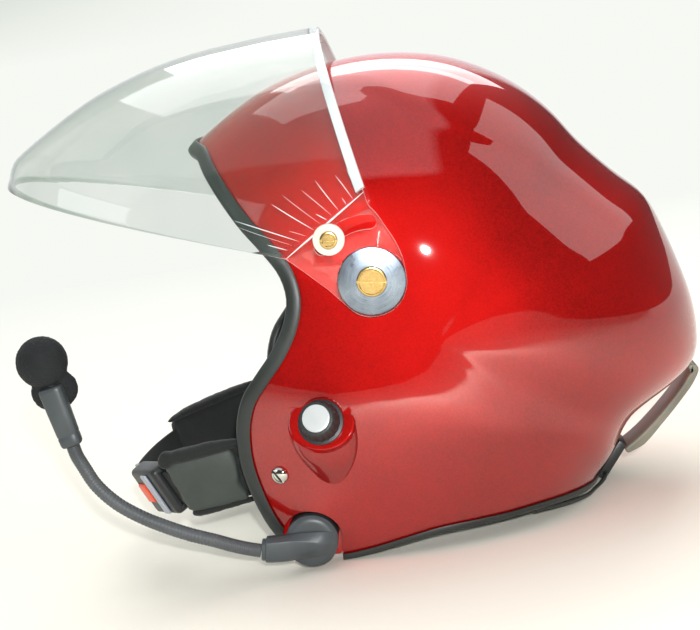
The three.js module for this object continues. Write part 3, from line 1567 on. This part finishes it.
const buttonMiddle = buttonFloor + buttonThickness / 2;
const button = buckleBlock(buttonFrom, buttonTo, buttonMiddle, buttonThickness, buttonWidth);
const tailFrom = buckleEnd + clearance;
const tailTo = tailFrom + tongueTailLength;
const tongue = join(
  buckleBlock(tongueEnd, (tailFrom + tailTo) / 2, -tongueLevel, tongueThickness, tongueWidth),
  buckleBlock(tailFrom, tailTo, -tongueLevel, tongueThickness, tongueTailWidth),
);
const plateFrom = -buckleEnd + plateFromEnd - plateLength;
const plateLevel = halfBuckle + clearance + plateThickness / 2;
const plate = buckleBlock(plateFrom, plateFrom + plateLength, plateLevel, plateThickness, plateWidth);
addPart("buckle_housing", moved(geometryOf(housing), buckleFrame), "blackPlastic");
addPart("release_button", moved(button, buckleFrame), "redPlastic");
addPart("buckle_tongue", moved(geometryOf(tongue), buckleFrame), "steel");
addPart("buckle_plate", moved(plate, buckleFrame), "greyPlate");

// Goggle strap keeper: a backing on the shell, a band hinged at its top, and a ladder below the band's end.
const offShell = 2 * clearance + backingThickness;
const keeperTopShare = -0.2226;
const backingShares = [-0.2028, -0.9681];
const keeperHinge = new THREE.Vector3().setFromMatrixPosition(
  backFrame(keeperTopShare, offShell + keeperEndDiameter / 2),
);
const keeperShares = [
  [0.512, -0.122, 0.85], [0.503, -0.149, 0.95], [0.481, -0.187, 0.9], [0.447, -0.237, 0.95],
  [0.412, -0.282, 1.15],
];
const ladderFrame = backFrame(keeperPinShare, offShell);
const keeperEnd = new THREE.Vector3(
  ladderThickness + clearance + keeperEndDiameter / 2,
  keeperHeadDiameter / 2 + clearance + keeperEndDiameter / 2,
  0,
).applyMatrix4(ladderFrame);

function backStrip(shares, inner, outer, width, steps) {
  const line = [];
  for (const off of [inner, outer]) {
    const side = [];
    for (let i = 0; i <= steps; i++) {
      const share = shares[0] + ((shares[1] - shares[0]) * i) / steps;
      const { y, z } = new THREE.Vector3().setFromMatrixPosition(backFrame(share, off));
      side.push([y, z]);
    }
    line.push(...(off === inner ? side : side.reverse()));
  }
  return sidePlate(line, -width / 2, width / 2);
}

// The band is a chain of links, each the hull of two rods across it.
function keeperBandSolid() {
  const middle = [[keeperHinge.y, keeperHinge.z], ...keeperShares.map(onSide), [keeperEnd.y, keeperEnd.z]];
  const shares = keeperShares.map(([, , share]) => (share * keeperThickness) / 2);
  const half = [keeperEndDiameter / 2, ...shares, keeperEndDiameter / 2];
  const rods = middle.map(([y, z], i) =>
    solidOf(rod(-keeperWidth / 2, keeperWidth / 2, half[i], 12).translate(0, y, z)),
  );
  return rods
    .slice(1)
    .map((far, i) => wasm.Manifold.hull([rods[i], far]))
    .reduce((whole, link) => whole.add(link));
}

const boltInWall = -shellWall + clearance;
const keeperBore = rod(-overrun, overrun, boltHole(keeperBoltDiameter), 8);
const backing = solidOf(backStrip(backingShares, 0, clearance + backingThickness, backingWidth, 8))
  .subtract(outsideSolid)
  .subtract(solidOf(moved(keeperBore, backFrame(keeperScrewShare))))
  .subtract(solidOf(moved(keeperBore, backFrame(keeperPinShare))));
addPart("keeper_backing", geometryOf(largest(backing)), "greyRubber");
addPart("keeper_band", geometryOf(keeperBandSolid()), "greyRubber");
const fixing = (from, under, headHeight) =>
  turned(
    [
      [from, 0],
      [from, keeperBoltDiameter / 2],
      [under, keeperBoltDiameter / 2],
      [under, keeperHeadDiameter / 2],
      [under + headHeight, keeperHeadDiameter / 2 - headHeight / 4],
      [under + headHeight, 0],
    ],
    12,
  );
const backingScrew = fixing(boltInWall, offShell, keeperHeadHeight);
addPart("keeper_screw", moved(backingScrew, backFrame(keeperScrewShare)), "steel");

// The ladder lies on the backing's lower end and reaches past the rim; its slots are below its pin.
const ladderBlock = (from, to, inner, outer, width) => {
  const section = flatSection(outer - inner, to - from);
  const rings = [-width / 2, width / 2].map((z) =>
    placeSection(
      section,
      new THREE.Vector3((inner + outer) / 2, (from + to) / 2, z),
      new THREE.Vector3(1, 0, 0),
      new THREE.Vector3(0, 1, 0),
    ),
  );
  return solidOf(skin(rings));
};
const pinShare = 0.32;
const ladderTop = ladderLength * pinShare;
const ladderFoot = ladderTop - ladderLength;
const slotFirst = -keeperHeadDiameter / 2 - ladderSlotGap;
let ladder = ladderBlock(ladderFoot, ladderTop, 0, ladderThickness, ladderWidth);
for (let i = 0; i < ladderSlots; i++) {
  const to = slotFirst - (ladderSlotLength + ladderSlotGap) * i;
  ladder = ladder.subtract(
    ladderBlock(to - ladderSlotLength, to, -overrun, ladderThickness + overrun, ladderSlotWidth),
  );
}
ladder = ladder.subtract(solidOf(keeperBore));
const ladderMesh = addPart("keeper_ladder", moved(geometryOf(ladder), ladderFrame), "blackRubber");
const pin = fixing(boltInWall, offShell + ladderThickness + clearance, keeperHeadHeight);
addPart("keeper_pin", moved(pin, backFrame(keeperPinShare)), "steel");

// At rest the helmet stands on the ladder's foot and on whatever lies lowest in front of it.
function cornersOf(object) {
  const corners = [];
  object.traverse(({ isMesh, geometry }) => {
    if (!isMesh) return;
    const position = geometry.getAttribute("position");
    for (let i = 0; i < position.count; i++) {
      corners.push(new THREE.Vector3().fromBufferAttribute(position, i));
    }
  });
  return corners;
}

const foot = cornersOf(ladderMesh).reduce((a, b) => (a.z < b.z ? a : b));
let slope = -1;
for (const { y, z } of cornersOf(helmet)) {
  if (y < foot.y - keeperWidth) slope = Math.max(slope, (foot.z - z) / (foot.y - y));
}
helmet.rotation.x = -Math.atan(slope);
const bounds = new THREE.Box3().setFromObject(helmet, true);
const middle = bounds.getCenter(new THREE.Vector3());
helmet.position.set(-middle.x, -middle.y, -bounds.min.z);

// Keeper cord, in the resting frame: it leaves the ladder's side and is tucked in under the base rim. Its
// points are its real places, chosen by hand.
const cordPoints = [
  [7.7, 128.7, 4.7], [10.5, 128.7, 4.6], [13.5, 127.6, 3.6], [17, 125.2, 2.2], [21, 122.5, 1.5],
  [26, 119.9, 1.35], [32, 117.6, 1.6], [39, 115, 2.4], [46, 112, 3.6], [53, 108.2, 4.9],
  [60, 103.4, 6.2], [66, 98, 7.4], [71, 93, 8.4], [75.5, 87, 9.3], [78.5, 82.5, 9.8],
];
const cordSides = 8;
const cordSection = new THREE.Shape(
  Array.from({ length: cordSides }, (_, i) => {
    const angle = (fullTurn * i) / cordSides;
    return new THREE.Vector2(Math.cos(angle), Math.sin(angle)).multiplyScalar(cordDiameter / 2);
  }),
);
const cordRoute = new THREE.CatmullRomCurve3(cordPoints.map((point) => new THREE.Vector3(...point)));
const cordGeometry = new THREE.ExtrudeGeometry(cordSection, { extrudePath: cordRoute, steps: 18 });

const part = new THREE.Group();
part.add(helmet);
addPart("keeper_cord", cordGeometry, "blackRubber", part);

export default part;
